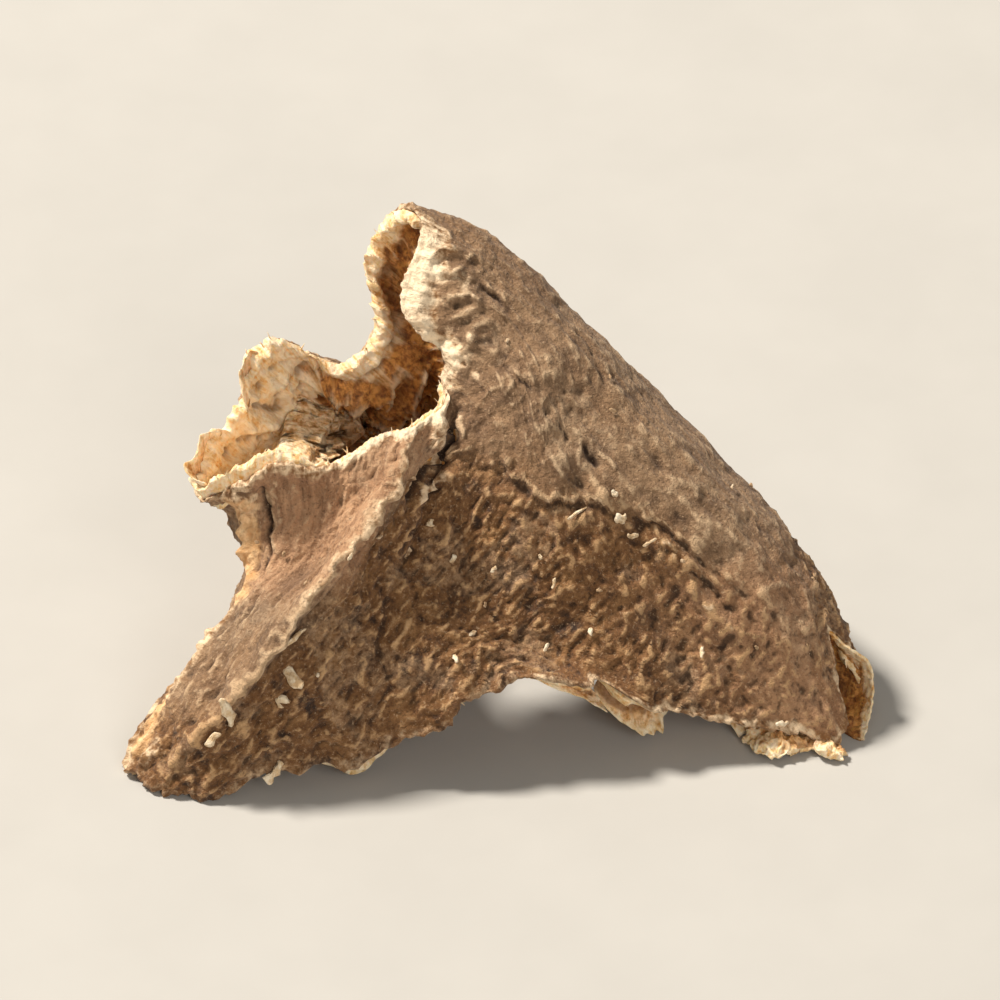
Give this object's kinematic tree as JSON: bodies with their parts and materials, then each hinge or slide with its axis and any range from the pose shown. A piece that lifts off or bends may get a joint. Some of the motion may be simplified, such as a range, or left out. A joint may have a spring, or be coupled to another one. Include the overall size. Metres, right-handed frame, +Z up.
{
  "type": "danshen root",
  "caption": "Curled dry root bark shard: a short flared tube with a torn slanting mouth, a ridge down one leg and an arched base.",
  "frame": {"origin": "under the middle of the piece's box, on the floor it rests on", "axes": "+Z up as it rests on its torn base, +X along its length towards the narrow slot, -Y its near side with the pleat and ridge"},
  "size_m": [0.0268, 0.0178, 0.0166],
  "materials": {
    "bark": "rough, matt, wrinkled dry cork outside; fibrous golden tan inside and on the torn edges"
  },
  "bodies": {
    "root": {"bark_shard": "bark"}
  },
  "joints": []
}
